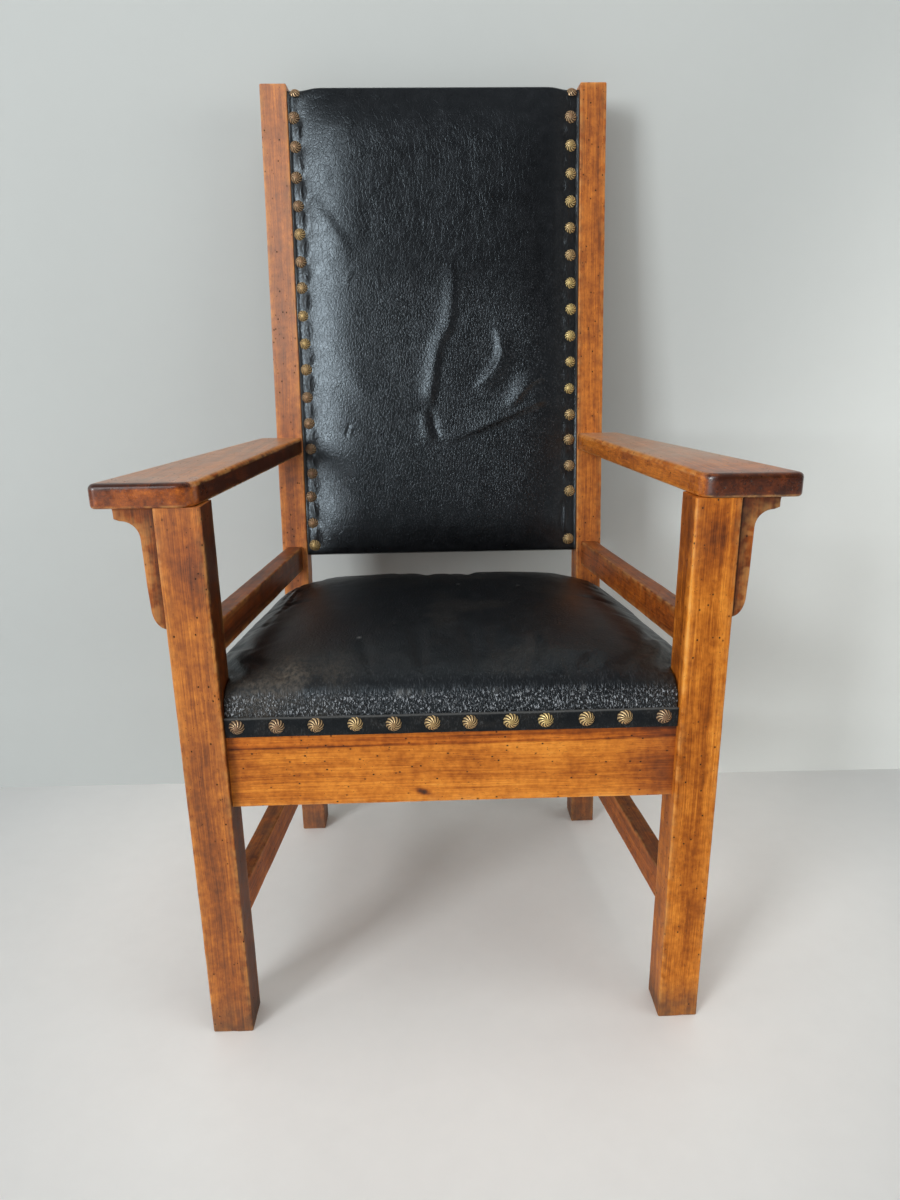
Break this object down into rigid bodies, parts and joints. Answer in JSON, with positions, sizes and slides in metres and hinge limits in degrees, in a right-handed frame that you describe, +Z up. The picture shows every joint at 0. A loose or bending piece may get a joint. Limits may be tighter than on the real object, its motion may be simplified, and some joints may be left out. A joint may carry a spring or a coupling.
{
  "type": "desk armchair",
  "caption": "High-backed wooden desk armchair with broad arm boards on bracketed legs, a stuffed black leather seat and a nailed leather back panel.",
  "frame": {"origin": "on the floor, under the middle of the bounding box", "axes": "+Z up, +X to the right seen from the front, the chair faces -Y"},
  "size_m": [0.7486, 0.597, 1.215],
  "materials": {
    "stained_wood": "waxed and worn, honey to red-brown stain",
    "plain_wood": "unfinished",
    "steel_screw": "plain",
    "jute_webbing": "woven",
    "hessian": "open weave",
    "horsehair": "curled hair stuffing",
    "back_hide": "pebbled black leather, satin",
    "seat_hide": "worn black leather, crackled front roll",
    "strip_hide": "flat black leather strip",
    "rear_cloth": "plain black leathercloth",
    "brass_nail": "aged brass, gold to bronze",
    "dark_tack": "darkened brass"
  },
  "bodies": {
    "root": {"front_leg_left": "stained_wood", "front_leg_right": "stained_wood", "rear_post_left": "stained_wood", "rear_post_right": "stained_wood", "arm_left": "stained_wood", "arm_right": "stained_wood", "arm_bracket_left": "stained_wood", "arm_bracket_right": "stained_wood", "arm_side_rail_left": "stained_wood", "arm_side_rail_right": "stained_wood", "stretcher_left": "stained_wood", "stretcher_right": "stained_wood", "seat_rail_front": "stained_wood", "seat_rail_rear": "plain_wood", "seat_rail_left": "stained_wood", "seat_rail_right": "stained_wood", "seat_block_front_left": "plain_wood", "seat_block_front_right": "plain_wood", "seat_block_rear_left": "plain_wood", "seat_block_rear_right": "plain_wood", "seat_block_screws": "steel_screw", "bracket_dowels": "plain_wood", "arm_rear_dowels": "plain_wood", "back_stile_left": "plain_wood", "back_stile_right": "plain_wood", "back_rail_top": "plain_wood", "back_rail_bottom": "plain_wood", "back_frame_screws": "steel_screw", "back_webbing_upright": "jute_webbing", "back_webbing_cross": "jute_webbing", "back_hessian": "hessian", "back_stuffing": "horsehair", "back_leather": "back_hide", "back_rear_cover": "rear_cloth", "back_rear_tacks": "dark_tack", "back_nails_left": "brass_nail", "back_nails_right": "brass_nail", "back_nails_top": "brass_nail", "seat_webbing_long": "jute_webbing", "seat_webbing_cross": "jute_webbing", "seat_hessian": "hessian", "seat_stuffing": "horsehair", "seat_leather": "seat_hide", "seat_strip_front": "strip_hide", "seat_strip_left": "strip_hide", "seat_strip_right": "strip_hide", "seat_strip_rear": "strip_hide", "seat_nails_front": "brass_nail", "seat_nails_left": "brass_nail", "seat_nails_right": "brass_nail", "seat_nails_rear": "brass_nail"}
  },
  "joints": []
}
